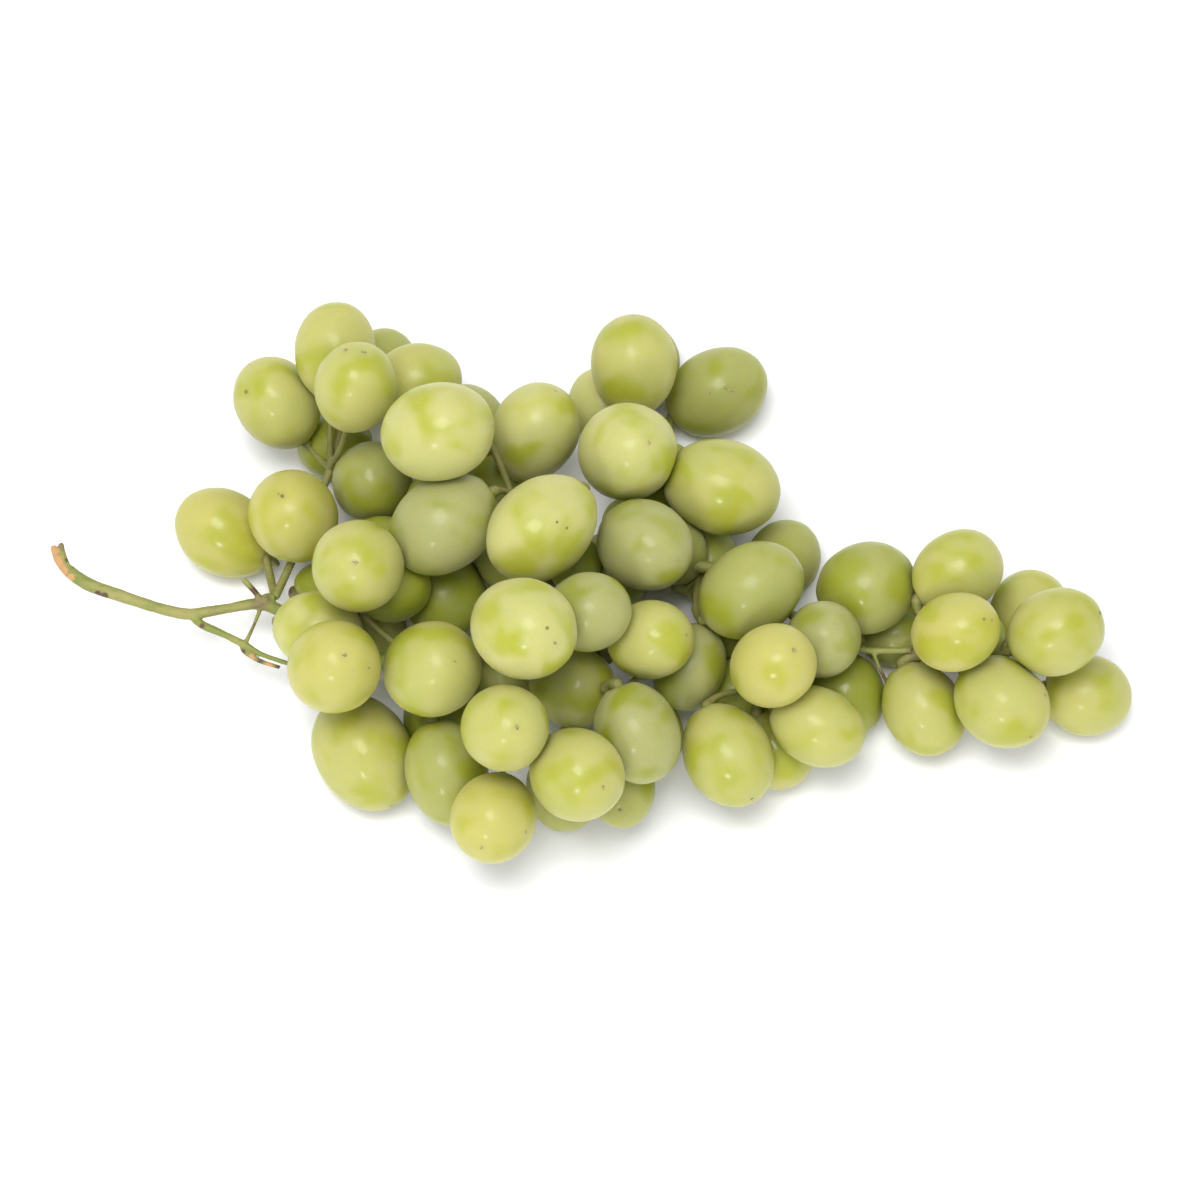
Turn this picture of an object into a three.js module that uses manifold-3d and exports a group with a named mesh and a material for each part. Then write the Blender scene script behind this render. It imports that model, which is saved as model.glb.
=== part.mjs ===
// A bunch of white table grapes lying on its side on a flat surface.
// Millimetres, +Z up, the stalk's cut end to -X, the tail of the bunch to +X.
import * as THREE from 'three';
import { mergeVertices } from 'three/addons/utils/BufferGeometryUtils.js';
import Module from 'manifold-3d';

const wasm = await Module();
wasm.setup();

// Berries are laid one after another along sight lines from one eye, high on the -Y side.
const EYE_ELEVATION = 68; // degrees above the surface
const EYE_DISTANCE = 1000;
const AIM_HEIGHT = 26; // height of the point that the eye looks at
const LAY_STEP = 0.25; // how far a berry is moved at a time
const LAY_START = 90; // how far toward the eye it starts
const PRESS = 0.94; // how near two berries' middles come, as a share of their radii
const SINK = 0.6; // how far the lowest berries are pressed flat on the surface
const GAP = 0.3; // clearance between separate sprays, and round the stem

// Faceted berries
const BERRY_SIDES = 9;
const BERRY_RINGS = 6;
const FACET_SWELL = 1.035; // makes up for the flats of a faceted berry

// Pedicels, the little stalks of the berries
const PEDICEL_SIDES = 4;
const PEDICEL_STEPS = 2;
const PEDICEL_RADIUS = 0.7;
const PEDICEL_SUNK = 3; // how deep it goes into its berry
const PEDICEL_REACH = 5; // how far it runs straight out before it bends to the twig
const TWIG_RADIUS = 1.1;
const TWIG_STEPS = 3;
const FORK_TOWARD_STEM = 0.3; // how far a spray's fork lies from its berries' middle to the stem
const FORK_DROP = 4; // how far below that the fork hangs
const FORK_LOWEST = 6;
const TWIG_SAG = 1.5; // how far a twig sags halfway

// Hidden berries underneath fill the room that is left
const FILL_X = [-70, 90];
const FILL_Y = [-45, 65];
const FILL_SPACING = 5;
const FILL_LEVELS = [0, 14, 20, 26];
const FILL_WIDTHS = [16, 14.5];
const FILL_STRETCH = 1.14;
const FILL_SEED = 11;
const RIM_POINTS = 12;
const RIM_SLACK = 0.8; // how far outside the others a rim point may lie
const RIM_BEHIND = 10; // how many rim points lie behind nearer berries
const SEE_THROUGH = [
  [18, -1.2],
  [29, 12],
  [12.4, 37],
  [15.2, 33.4],
  [-6, 26],
  [57.4, -16.4],
  [-44, -13.6],
];
const SEE_THROUGH_RADIUS = 1;

const SURFACE_SIZE = 600; // the block that flattens what would reach below the surface
const MAX_SCRAPS = 200; // mm3 of loose bits that the cuts may leave of one spray

const BERRY_COLOUR = 0xc3c765;
const BERRY_ROUGHNESS = 0.42;
const STEM_COLOUR = 0x9aa04e;
const STEM_ROUGHNESS = 0.75;

// Main stem: across, up, height, radius. Across and up are measured square to the sight line.
const MAIN_STEM = [
  [-109.4, 10.8, 13, 0.6],
  [-108.2, 8.2, 13, 1.1],
  [-106, 5.6, 13, 1.3],
  [-102, 3, 13, 1.4],
  [-96, 0.9, 13, 1.3],
  [-89, -1.4, 13, 1.15],
  [-83, -2.8, 13, 1.2],
  [-79, -2.4, 13, 1.15],
  [-74, -1.6, 13, 1],
  [-68, -0.8, 12.5, 1.2],
  [-63, -2.6, 11, 1.3],
  [-56, -5.5, 10, 1.6],
  [-50, -9.5, 12, 1.6],
  [-44, -12, 16, 1.6],
  [-36, -11.5, 18, 1.6],
  [-26, -10, 19, 1.6],
  [-14, -6, 19.5, 1.5],
  [-2, 0, 20, 1.5],
  [10, 6, 19, 1.4],
  [22, 6.4, 18, 1.3],
  [34, 0.6, 16, 1.1],
  [44, -7.5, 14.5, 0.9],
  [52.6, -10, 15, 0.7],
  [62.4, -10, 15.5, 0.7],
];
const STEM_OBSTACLE_FROM = 9; // the stem point from which berries rest on it
const BEAD_SPACING = 2.5;

// Bare twigs near the cut end, each a list of the same kind
const LOWER_BRANCH = 1;
const KNOT = 5;
const SIDE_TWIGS = [
  // second prong of the torn end
  [[-107.8, 11.4, 13.4, 0.5], [-107.6, 9.4, 13.2, 0.8], [-106.8, 6.8, 13, 0.9]],
  // lower branch
  [[-81.6, -3, 13, 1], [-79.6, -4.9, 12.8, 0.9], [-75, -7, 12, 0.7], [-71.4, -8.8, 12, 0.8],
    [-67.4, -11, 12, 0.5], [-62, -12.8, 12.5, 0.5]],
  // dried stub beside it
  [[-71.6, -9, 12, 0.6], [-71, -10.4, 11.6, 0.5], [-68, -12.2, 11, 0.5], [-64, -13.5, 10.6, 0.4]],
  // thin cross twig
  [[-67.8, -1.4, 12.4, 0.5], [-69.2, -5, 12, 0.35], [-70.8, -8.4, 12, 0.5]],
  // dark twig with its stub
  [[-67.4, -0.6, 12.5, 0.7], [-69, 1.6, 14, 0.6], [-71.4, 4.2, 15, 0.6]],
  // knot on the other side
  [[-68, -0.8, 12.5, 1], [-66.6, 0.2, 12.6, 1.2], [-65, 0.5, 12.6, 0.9]],
  // dried twig near the tail
  [[54.6, -10.4, 15, 0.5], [56, -13.8, 14.6, 0.4], [57.8, -17.4, 14, 0.4]],
];

const SPRAYS = [
  'spray_stem_end',
  'spray_left',
  'spray_left_front',
  'spray_upper_left',
  'spray_upper_middle',
  'spray_upper_right',
  'spray_centre',
  'spray_centre_right',
  'spray_lower_left',
  'spray_lower_middle',
  'spray_lower_right',
  'spray_right',
  'spray_tail',
];

// Berries in the order in which they are laid:
// spray, across, up, width, length, bearing of the blossom end, its rise toward the eye, and
// for some the height at which the stalk holds the berry's middle up
const LOW_BERRIES = [
  ['spray_upper_left', -53, 30.8, 14.4, 16, 180, 0],
  ['spray_upper_left', -44, 46.6, 15, 17, 60, 0],
  ['spray_upper_middle', -26.4, 34.4, 16.4, 18.4, 100, 10],
  ['spray_upper_right', 1.2, 38.4, 15.4, 17.6, 120, 0],
  ['spray_centre', 2, 5, 16, 18, 90, 0],
  ['spray_centre_right', 21.8, 6.6, 13.2, 17, 90, 0],
  ['spray_centre_right', 36.6, 8, 15.4, 17.4, 60, -10],
  ['spray_centre_right', 15.2, 9.8, 12.6, 14.6, 90, 0],
  ['spray_left', -54.6, 2.2, 12, 14, 0, 0],
  ['spray_left', -46, -6, 14.6, 17, 240, -20],
  ['spray_lower_left', -31, 1, 17.4, 19.6, 90, -30, 12],
  ['spray_lower_left', -41.4, 2.4, 14, 16, 20, 0],
  ['spray_upper_middle', -21, 21, 15.4, 17.4, 60, 0],
  ['spray_centre', -17.4, 8, 14.8, 17, 150, 0],
  ['spray_lower_right', 27.6, -18.6, 14.4, 17, 0, 0],
  ['spray_lower_right', 49.2, -18.8, 16, 17.8, -60, 0],
  ['spray_right', 58.9, -7, 13.2, 15, 0, 0],
  ['spray_tail', 85.6, -2.4, 16, 18, 60, 0],
  ['spray_lower_middle', -7.4, -37.6, 15, 18, -80, 0],
  ['spray_lower_left', -19.6, -16, 15, 17, -80, 0],
  ['spray_stem_end', -75, 13.4, 17.6, 22, 148, 10],
  ['spray_left_front', -47.2, -30.6, 20, 25, -58, 8],
  ['spray_upper_right', 23.4, 41.6, 18, 22.4, 28, 10],
];
const UPPER_BERRIES = [
  ['spray_left', -56.4, -6, 16, 18.4, -10, 10],
  ['spray_lower_right', 35.2, -30, 14.8, 16.6, -60, 0],
  ['spray_lower_middle', 4.4, -37.6, 13.6, 16.4, -90, 20],
  ['spray_upper_left', -64.6, 39.4, 17.2, 20.6, 125, 20],
  ['spray_upper_left', -53, 49.6, 16.8, 20.8, 85, 10],
  ['spray_upper_left', -36.4, 44.2, 15, 18.6, 5, 0],
  ['spray_upper_left', -45.6, 23.6, 16.8, 19.6, 50, 78],
  ['spray_stem_end', -61.2, 16.6, 18.4, 21.6, 120, 60],
  ['spray_lower_left', -30.6, -34.6, 16.8, 22, -75, 0],
  ['spray_centre', -5.4, -17.4, 16.4, 18.4, -20, 20, 19],
  ['spray_lower_middle', 18, -13.4, 14.4, 18.4, -112, 0, 17],
  ['spray_centre', 10, -8, 16, 18.8, 8, 38],
  ['spray_centre', -2.4, -2.4, 16, 18, 10, 30],
  ['spray_upper_right', 6.8, 47, 18, 21.4, 92, 15],
  ['spray_centre_right', 9, 11, 18.4, 21.6, -25, 45],
  ['spray_lower_middle', 7.4, -26.6, 17.2, 20.8, -70, 0],
  ['spray_right', 53.4, 2.4, 18.8, 21, 20, 10],
  ['spray_right', 44.4, -8, 15.4, 17.6, 50, 60],
  ['spray_lower_right', 25.6, -31, 18, 22, -62, 15],
  ['spray_lower_right', 43.4, -25.2, 16, 20, -25, 5],
  ['spray_tail', 97.4, -19, 16.8, 18.4, -10, 0],
  ['spray_tail', 71.4, 5.6, 16.4, 19.6, 30, 5],
  ['spray_tail', 64.6, -21.8, 16.4, 20, -60, 5],
  ['spray_upper_left', -49, 42.4, 16.8, 20, 76, 42],
  ['spray_upper_middle', -31.2, 15.2, 19.2, 24, 215, 5],
  ['spray_upper_middle', -13.2, 33.4, 18, 22.4, 62, 30],
  ['spray_left', -48.4, 6.8, 18.6, 21.6, 120, 85],
  ['spray_left_front', -53.2, -13.4, 18.8, 22, 47, 72],
  ['spray_lower_left', -33.6, -13.8, 19.4, 22.8, 18, 63],
  ['spray_centre_right', 30.2, 2, 18.4, 23, 35, 10],
  ['spray_lower_right', 34.6, -13.2, 16.8, 19.8, 36, 57],
  ['spray_lower_middle', -4.8, -34.8, 18.4, 21.4, -26, 55],
  ['spray_lower_left', -21.2, -43.4, 17.2, 20, -112, 50],
  ['spray_upper_right', 24.4, 22.6, 19.6, 24.4, -12, 5],
  ['spray_upper_middle', -11.6, 14.4, 19.6, 25, 222, 15],
  ['spray_upper_right', 5.4, 29.6, 20, 23, 22, 66],
  ['spray_upper_middle', -32.4, 33.6, 20, 23.6, 12, 22],
  ['spray_centre', -15.4, -5.6, 20, 24, -25, 52],
  ['spray_lower_left', -19, -25.6, 17.4, 20.6, 0, 75],
  ['spray_tail', 80.4, -20.4, 18, 20.8, -38, 25],
  ['spray_tail', 71.2, -6.4, 16, 19.6, 20, 42],
  ['spray_tail', 91.2, -6.4, 17.6, 20.4, 23, 15],
];

// Places (across, up) where a crowded berry shows between the others, with its spray and bearing
const TUCKED_BERRIES = [
  ['spray_centre_right', 5, 15, 90],
  ['spray_centre', -5, 7, 90],
  ['spray_lower_right', 26, -7, 0],
];
const TUCKED_WIDTHS = [16, 15, 14, 13, 12, 11, 10];
const TUCKED_HIGHEST = 28;

// The sight frame
const elevation = THREE.MathUtils.degToRad(EYE_ELEVATION);
const acrossAxis = new THREE.Vector3(1, 0, 0);
const upAxis = new THREE.Vector3(0, Math.sin(elevation), Math.cos(elevation));
const eyeAxis = new THREE.Vector3(0, -Math.cos(elevation), Math.sin(elevation));
const aim = new THREE.Vector3(0, 0, AIM_HEIGHT);
const eye = aim.clone().addScaledVector(eyeAxis, EYE_DISTANCE);

function sightVector(across, up, toward) {
  return new THREE.Vector3()
    .addScaledVector(acrossAxis, across)
    .addScaledVector(upAxis, up)
    .addScaledVector(eyeAxis, toward);
}

// The point at a given height that the eye sees at (across, up)
function seenAt(across, up, height) {
  const spot = sightVector(across, up, 0).add(aim);
  return spot.lerp(eye, (height - spot.z) / (eye.z - spot.z));
}

function seenFrom(point) {
  const sight = point.clone().sub(eye);
  const scale = EYE_DISTANCE / -sight.dot(eyeAxis);
  return { across: sight.dot(acrossAxis) * scale, up: sight.dot(upAxis) * scale, near: sight.dot(eyeAxis) };
}

function makeBerry(spray, width, length, bearing, rise) {
  const turn = THREE.MathUtils.degToRad(bearing);
  const lean = THREE.MathUtils.degToRad(rise);
  const flat = Math.cos(lean);
  const axis = sightVector(Math.cos(turn) * flat, Math.sin(turn) * flat, Math.sin(lean));
  return { spray, width, length, axis };
}

// How far a berry reaches from its middle to the plane that touches it, in one direction
function reach(berry, direction) {
  const share = berry.axis.dot(direction) ** 2;
  return Math.sqrt((berry.width / 2) ** 2 * (1 - share) + (berry.length / 2) ** 2 * share);
}

function touches(berry, at, other) {
  const way = other.at.clone().sub(at);
  const apart = way.length();
  way.divideScalar(apart);
  return apart < PRESS * (reach(berry, way) + reach(other, way));
}

function touchesStem(berry, at) {
  return stemBeads.some((bead) => {
    const way = bead.at.clone().sub(at);
    const apart = way.length();
    return apart < reach(berry, way.divideScalar(apart)) + bead.radius + GAP;
  });
}

// Beads along the hidden part of the main stem, which the upper berries rest on
const stemPoints = MAIN_STEM.map(([across, up, height, radius]) => {
  return { at: seenAt(across, up, height), radius };
});
const stemBeads = [];
for (let i = STEM_OBSTACLE_FROM; i < stemPoints.length - 1; i += 1) {
  const from = stemPoints[i];
  const to = stemPoints[i + 1];
  const count = Math.max(1, Math.floor(from.at.distanceTo(to.at) / BEAD_SPACING));
  for (let k = 0; k < count; k += 1) {
    const share = k / count;
    const radius = THREE.MathUtils.lerp(from.radius, to.radius, share);
    stemBeads.push({ at: from.at.clone().lerp(to.at, share), radius });
  }
}

const berries = [];
const upright = new THREE.Vector3(0, 0, 1);

// Slides a berry down its sight line until it meets another, the stem, the surface or its own stalk
function layBerry([spray, across, up, width, length, bearing, rise, held = 0], minded) {
  const berry = makeBerry(spray, width, length, bearing, rise);
  const spot = sightVector(across, up, 0).add(aim);
  const sight = eye.clone().sub(spot).normalize();
  const lowest = Math.max(held, reach(berry, upright) - SINK);
  let slide = LAY_START;
  for (;;) {
    const next = spot.clone().addScaledVector(sight, slide - LAY_STEP);
    if (next.z < lowest || berries.some((other) => touches(berry, next, other))) break;
    if (minded && touchesStem(berry, next)) break;
    slide -= LAY_STEP;
  }
  berry.at = spot.addScaledVector(sight, slide);
  berries.push(berry);
}

// A crowded berry is the widest that has room, from the surface up, under its place
function tuckBerry([spray, across, up, bearing]) {
  for (const width of TUCKED_WIDTHS) {
    const berry = makeBerry(spray, width, width * FILL_STRETCH, bearing, 0);
    for (let height = reach(berry, upright) - SINK; height < TUCKED_HIGHEST; height += LAY_STEP) {
      berry.at = seenAt(across, up, height);
      const touching = berries.some((other) => touches(berry, berry.at, other));
      if (!touching && !touchesStem(berry, berry.at)) {
        berries.push(berry);
        return;
      }
    }
  }
}

LOW_BERRIES.forEach((row) => layBerry(row, false));
UPPER_BERRIES.forEach((row) => layBerry(row, true));
TUCKED_BERRIES.forEach(tuckBerry);

// Hidden berries: a grid of places under the bunch, each kept where there is room and nothing shows
let draw = FILL_SEED;
function random() {
  draw = (draw * 16807) % 2147483647;
  return draw / 2147483647;
}

// Whether a berry stays within the outline of the others, mostly behind them, and closes no gap
function hidden(berry) {
  const own = seenFrom(berry.at);
  const half = berry.width / 2;
  const closes = ([across, up]) => Math.hypot(across - own.across, up - own.up) < half + SEE_THROUGH_RADIUS;
  if (SEE_THROUGH.some(closes)) return false;
  let within = 0;
  let behind = 0;
  for (let k = 0; k < RIM_POINTS; k += 1) {
    const angle = (k / RIM_POINTS) * 2 * Math.PI;
    const across = own.across + Math.cos(angle) * half;
    const up = own.up + Math.sin(angle) * half;
    const over = berries.map((other) => ({ width: other.width, seen: seenFrom(other.at) }))
      .filter(({ width, seen }) => Math.hypot(across - seen.across, up - seen.up) < width / 2 + RIM_SLACK);
    if (over.length > 0) within += 1;
    if (over.some(({ seen }) => seen.near > own.near)) behind += 1;
  }
  return within === RIM_POINTS && behind >= RIM_BEHIND;
}

// Each spray's twig leaves the nearest of the stem's hidden points, the lower branch's end and the
// knot, and forks under its berries
const leaving = stemPoints.slice(STEM_OBSTACLE_FROM);
for (const row of [SIDE_TWIGS[LOWER_BRANCH], SIDE_TWIGS[KNOT]]) {
  const [across, up, height] = row[row.length - 1];
  leaving.push({ at: seenAt(across, up, height) });
}

function sprayTwig(name) {
  const own = berries.filter((one) => one.spray === name);
  const middle = new THREE.Vector3();
  own.forEach((berry) => middle.addScaledVector(berry.at, 1 / own.length));
  const away = (point) => point.at.distanceTo(middle);
  const root = leaving.reduce((best, point) => (away(point) < away(best) ? point : best)).at;
  const fork = middle.lerp(root, FORK_TOWARD_STEM);
  fork.z = Math.max(FORK_LOWEST, fork.z - FORK_DROP);
  const bend = root.clone().add(fork).multiplyScalar(0.5);
  bend.z -= TWIG_SAG;
  return { root, bend, fork };
}

const sprayTwigs = new Map(SPRAYS.map((name) => [name, sprayTwig(name)]));

function nearestSpray(at) {
  const away = (name) => sprayTwigs.get(name).fork.distanceTo(at);
  return [...SPRAYS].sort((one, other) => away(one) - away(other))[0];
}

for (const width of FILL_WIDTHS) {
  for (const level of FILL_LEVELS) {
    for (let y = FILL_Y[0]; y <= FILL_Y[1]; y += FILL_SPACING) {
      for (let x = FILL_X[0]; x <= FILL_X[1]; x += FILL_SPACING) {
        const berry = makeBerry('', width, width * FILL_STRETCH, random() * 360, random() * 60 - 30);
        const place = [x + random() * FILL_SPACING, y + random() * FILL_SPACING];
        berry.at = new THREE.Vector3(...place, Math.max(level, reach(berry, upright) - SINK));
        const touching = berries.some((other) => touches(berry, berry.at, other));
        if (!touching && !touchesStem(berry, berry.at) && hidden(berry)) {
          berry.spray = nearestSpray(berry.at);
          berries.push(berry);
        }
      }
    }
  }
}

// The berries that no row turns have their stalk's end toward the fork
for (const berry of berries.slice(LOW_BERRIES.length + UPPER_BERRIES.length)) {
  const toFork = sprayTwigs.get(berry.spray).fork.clone().sub(berry.at);
  if (toFork.dot(berry.axis) > 0) berry.axis.negate();
}

// A closed mesh as a solid for joining and cutting
function solid(geometry) {
  const bare = geometry.clone();
  bare.deleteAttribute('normal');
  bare.deleteAttribute('uv');
  const merged = mergeVertices(bare);
  const mesh = new wasm.Mesh({
    numProp: 3,
    vertProperties: new Float32Array(merged.attributes.position.array),
    triVerts: new Uint32Array(merged.index.array),
  });
  return new wasm.Manifold(mesh);
}

// A tube through points, its radius running from each to the next
function tube(points, radii, sides, steps) {
  const path = new THREE.CatmullRomCurve3(points);
  const ring = new THREE.Shape();
  for (let k = 0; k < sides; k += 1) {
    const angle = (k / sides) * 2 * Math.PI;
    if (k === 0) ring.moveTo(Math.cos(angle), Math.sin(angle));
    else ring.lineTo(Math.cos(angle), Math.sin(angle));
  }
  ring.closePath();
  const geometry = new THREE.ExtrudeGeometry(ring, { steps, extrudePath: path, bevelEnabled: false });
  const middles = path.getSpacedPoints(steps);
  const position = geometry.attributes.position;
  const corner = new THREE.Vector3();
  for (let i = 0; i < position.count; i += 1) {
    corner.fromBufferAttribute(position, i);
    let best = 0;
    middles.forEach((middle, k) => {
      if (middle.distanceTo(corner) < middles[best].distanceTo(corner)) best = k;
    });
    const place = (best / steps) * (radii.length - 1);
    const low = Math.min(Math.floor(place), radii.length - 2);
    const radius = THREE.MathUtils.lerp(radii[low], radii[low + 1], place - low);
    corner.sub(middles[best]).multiplyScalar(radius).add(middles[best]);
    position.setXYZ(i, corner.x, corner.y, corner.z);
  }
  return solid(geometry);
}

// The stem, thicker by the given clearance when it is used as a cutter
function stemSolid(clearance) {
  const line = (row) => row.map(([across, up, height]) => seenAt(across, up, height));
  const thick = (row) => row.map((point) => point[3] + clearance);
  const main = tube(line(MAIN_STEM), thick(MAIN_STEM), 6, MAIN_STEM.length + 7);
  const twigs = SIDE_TWIGS.map((row) => tube(line(row), thick(row), 4, row.length + 2));
  return wasm.Manifold.union([main, ...twigs]);
}

// A spray's twig and its pedicels
function sprayWood(name, clearance) {
  const { root, bend, fork } = sprayTwigs.get(name);
  const thick = TWIG_RADIUS + clearance;
  const parts = [tube([root, bend, fork], [thick, thick], PEDICEL_SIDES, TWIG_STEPS)];
  for (const berry of berries.filter((one) => one.spray === name)) {
    const base = berry.at.clone().addScaledVector(berry.axis, PEDICEL_SUNK - berry.length / 2);
    const out = berry.at.clone().addScaledVector(berry.axis, -PEDICEL_REACH - berry.length / 2);
    const bow = new THREE.QuadraticBezierCurve3(base, out, fork);
    const radius = PEDICEL_RADIUS + clearance;
    parts.push(tube(bow.getPoints(4), [radius, radius], PEDICEL_SIDES, PEDICEL_STEPS));
  }
  return wasm.Manifold.union(parts);
}

// A faceted berry, pressed flat against its neighbours in other sprays
function berrySolid(berry) {
  const geometry = new THREE.SphereGeometry(1, BERRY_SIDES, BERRY_RINGS);
  const half = (berry.width / 2) * FACET_SWELL;
  geometry.scale(half, (berry.length / 2) * FACET_SWELL, half);
  const turn = new THREE.Quaternion().setFromUnitVectors(new THREE.Vector3(0, 1, 0), berry.axis);
  geometry.applyQuaternion(turn);
  geometry.translate(berry.at.x, berry.at.y, berry.at.z);
  const flats = [];
  for (const other of berries) {
    if (other.spray === berry.spray) continue;
    const way = other.at.clone().sub(berry.at);
    const apart = way.length();
    way.divideScalar(apart);
    const own = reach(berry, way) * FACET_SWELL;
    const theirs = reach(other, way) * FACET_SWELL;
    if (apart < own + theirs + GAP) flats.push({ way, depth: apart * own / (own + theirs) - GAP / 2 });
  }
  const position = geometry.attributes.position;
  const corner = new THREE.Vector3();
  for (let i = 0; i < position.count; i += 1) {
    corner.fromBufferAttribute(position, i);
    for (const flat of flats) {
      const over = corner.clone().sub(berry.at).dot(flat.way) - flat.depth;
      if (over > 0) corner.addScaledVector(flat.way, -over);
    }
    position.setXYZ(i, corner.x, corner.y, corner.z);
  }
  return solid(geometry);
}

// The largest body of a solid, without the small scraps that its cuts leave
function wholeBody(name, shape) {
  const bodies = shape.decompose().sort((a, b) => b.volume() - a.volume());
  const scraps = bodies.slice(1).reduce((sum, body) => sum + body.volume(), 0);
  if (scraps > MAX_SCRAPS) throw new Error(`${name} comes apart`);
  return bodies[0];
}

const woods = SPRAYS.map((name) => sprayWood(name, 0));
const woodCutters = SPRAYS.map((name) => sprayWood(name, GAP));
const stemCutter = stemSolid(GAP);
const surface = new THREE.BoxGeometry(SURFACE_SIZE, SURFACE_SIZE, SURFACE_SIZE);
surface.translate(0, 0, -SURFACE_SIZE / 2);
const underneath = solid(surface);

const solids = [['stem', wholeBody('stem', stemSolid(0).subtract(underneath)), STEM_COLOUR, STEM_ROUGHNESS]];
SPRAYS.forEach((name, i) => {
  const fruit = wasm.Manifold.union(berries.filter((one) => one.spray === name).map(berrySolid));
  const others = wasm.Manifold.union(woodCutters.filter((wood, k) => k !== i));
  const earlier = wasm.Manifold.union([stemCutter, ...woodCutters.slice(0, i)]);
  const wood = woods[i].subtract(earlier);
  const spray = fruit.subtract(others).subtract(stemCutter).add(wood).subtract(underneath);
  solids.push([name, wholeBody(name, spray), BERRY_COLOUR, BERRY_ROUGHNESS]);
});

// Moves everything so that the middle of the underside is the origin
const low = new THREE.Vector3(Infinity, Infinity, Infinity);
const high = new THREE.Vector3(-Infinity, -Infinity, -Infinity);
for (const [, shape] of solids) {
  const bounds = shape.boundingBox();
  low.min(new THREE.Vector3(...bounds.min));
  high.max(new THREE.Vector3(...bounds.max));
}
const shift = new THREE.Vector3(-(low.x + high.x) / 2, -(low.y + high.y) / 2, -low.z);

const bunch = new THREE.Group();
for (const [name, shape, colour, roughness] of solids) {
  const mesh = shape.getMesh();
  const geometry = new THREE.BufferGeometry();
  const positions = new Float32Array(mesh.numVert * 3);
  for (let i = 0; i < mesh.numVert; i += 1) {
    for (let k = 0; k < 3; k += 1) positions[i * 3 + k] = mesh.vertProperties[i * mesh.numProp + k];
  }
  geometry.setAttribute('position', new THREE.BufferAttribute(positions, 3));
  geometry.setIndex(new THREE.BufferAttribute(new Uint32Array(mesh.triVerts), 1));
  geometry.translate(shift.x, shift.y, shift.z);
  geometry.computeVertexNormals();
  const material = new THREE.MeshStandardMaterial({ color: colour, roughness, metalness: 0 });
  const part = new THREE.Mesh(geometry, material);
  part.name = name;
  bunch.add(part);
}

export default bunch;
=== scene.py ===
import math
import random
import bpy
import bmesh
import numpy as np
from mathutils import Matrix, Quaternion, Vector, noise
from mathutils.bvhtree import BVHTree


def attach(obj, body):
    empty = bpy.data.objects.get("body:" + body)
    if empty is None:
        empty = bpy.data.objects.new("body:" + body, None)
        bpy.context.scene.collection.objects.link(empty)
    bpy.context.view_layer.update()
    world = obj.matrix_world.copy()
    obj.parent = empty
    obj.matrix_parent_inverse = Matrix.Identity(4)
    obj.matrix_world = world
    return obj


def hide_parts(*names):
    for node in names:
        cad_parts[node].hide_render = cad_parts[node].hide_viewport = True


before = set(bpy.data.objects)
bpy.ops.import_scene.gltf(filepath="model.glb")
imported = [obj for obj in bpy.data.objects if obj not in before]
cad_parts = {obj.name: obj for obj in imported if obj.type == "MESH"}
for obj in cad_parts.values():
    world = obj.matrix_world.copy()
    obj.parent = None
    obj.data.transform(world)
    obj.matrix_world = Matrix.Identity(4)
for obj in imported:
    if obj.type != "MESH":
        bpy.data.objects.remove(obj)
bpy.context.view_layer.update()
print("frame loaded:", len(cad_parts), "nodes")

# Everything is made in millimetres round the point that the eye looks at, then put into the frame
sight = {
    "elevation": 68,  # degrees above the surface
    "distance": 1000,
    "aimHeight": 26,
    "shift": (1.9874, -7.5806, 0),  # how far the part's source moves its solids, as it printed it
}
lean = math.radians(sight["elevation"])
acrossAxis = np.array((1, 0, 0))
upAxis = np.array((0, math.sin(lean), math.cos(lean)))
eyeAxis = np.array((0, -math.cos(lean), math.sin(lean)))
aim = np.array((0, 0, sight["aimHeight"]))
eye = aim + eyeAxis * sight["distance"]
intoFrame = Matrix.Scale(0.001, 4) @ Matrix.Translation(sight["shift"])


def sightVector(across, up, toward):
    return acrossAxis * across + upAxis * up + eyeAxis * toward


# the point at a given height that the eye sees at (across, up)
def seenAt(across, up, height):
    spot = aim + sightVector(across, up, 0)
    return spot + (eye - spot) * ((height - spot[2]) / (eye[2] - spot[2]))


# where the eye sees points: across, up, and how near
def seenFrom(points):
    rays = points - eye
    near = rays @ eyeAxis
    scale = -sight["distance"] / near
    return np.stack((rays @ acrossAxis * scale, rays @ upAxis * scale, near), axis=-1)


# 1 at the middle, falling away smoothly on both sides
def bell(value, middle, width):
    return math.exp(-(((value - middle) / width) ** 2))


def smoothMin(a, b, width):
    share = min(max(0.5 + 0.5 * (b - a) / width, 0), 1)
    return b + (a - b) * share - width * share * (1 - share)


def keepPiece(name, bm, slot, materials, *nodes):
    bmesh.ops.transform(bm, matrix=intoFrame, verts=bm.verts)
    mesh = bpy.data.meshes.new(name)
    bm.to_mesh(mesh)
    bm.free()
    mesh.shade_smooth()
    piece = bpy.data.objects.new(name, mesh)
    bpy.context.scene.collection.objects.link(piece)
    for material in materials:
        mesh.materials.append(material)
    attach(piece, "root")
    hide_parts(*nodes)
    return piece


class Sum:  # wraps an output socket, so that shader maths is written as an expression
    def __init__(self, tree, socket):
        self.tree = tree
        self.socket = socket

    def maths(self, operation, *values):
        return self.tree.add("ShaderNodeMath", {"operation": operation}, dict(enumerate(values)))

    def __add__(self, other):
        return self.maths("ADD", self, other)

    def __radd__(self, other):
        return self.maths("ADD", other, self)

    def __sub__(self, other):
        return self.maths("SUBTRACT", self, other)

    def __rsub__(self, other):
        return self.maths("SUBTRACT", other, self)

    def __mul__(self, other):
        return self.maths("MULTIPLY", self, other)


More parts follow.
